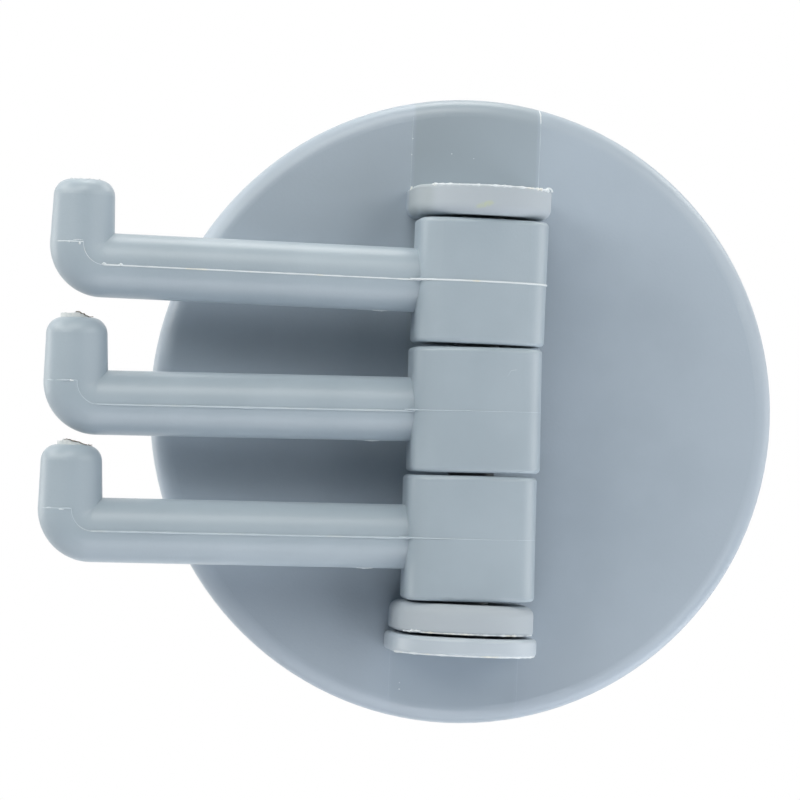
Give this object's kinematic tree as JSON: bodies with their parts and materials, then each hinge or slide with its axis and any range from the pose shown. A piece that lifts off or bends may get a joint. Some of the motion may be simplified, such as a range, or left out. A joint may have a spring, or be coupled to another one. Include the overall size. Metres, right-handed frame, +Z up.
{
  "type": "rotating wall hook",
  "caption": "Round stick-on wall plate with swinging hook arms that turn on a hinge pin held between moulded ears, for towels and utensils.",
  "frame": {"origin": "centre of the adhesive pad's outer face, on the wall", "axes": "+X to the right as seen from the room, +Y into the wall, +Z up along the hinge pin; at rest the arms are folded along -X"},
  "size_m": [0.0823, 0.0208, 0.07],
  "materials": {
    "plate_plastic": "pale blue-grey moulded plastic, satin",
    "hook_plastic": "pale blue-grey moulded plastic, satin",
    "pin_plastic": "pale blue-grey moulded plastic, satin",
    "pad_foam": "white foam tape, matte"
  },
  "bodies": {
    "base": {"base_plate": "plate_plastic", "adhesive_pad": "pad_foam", "hinge_pin": "pin_plastic"},
    "upper_arm": {"upper_hook": "hook_plastic"},
    "middle_arm": {"middle_hook": "hook_plastic"},
    "lower_arm": {"lower_hook": "hook_plastic"}
  },
  "joints": [
    {"name": "upper_swing", "type": "hinge", "parent": "base", "child": "upper_arm", "pos_m": [0, -0.01276, 0], "axis": [0, 0, 1], "range_deg": [0, 180]},
    {"name": "middle_swing", "type": "hinge", "parent": "base", "child": "middle_arm", "pos_m": [0, -0.01276, 0], "axis": [0, 0, 1], "range_deg": [0, 180]},
    {"name": "lower_swing", "type": "hinge", "parent": "base", "child": "lower_arm", "pos_m": [0, -0.01276, 0], "axis": [0, 0, 1], "range_deg": [0, 180]}
  ]
}
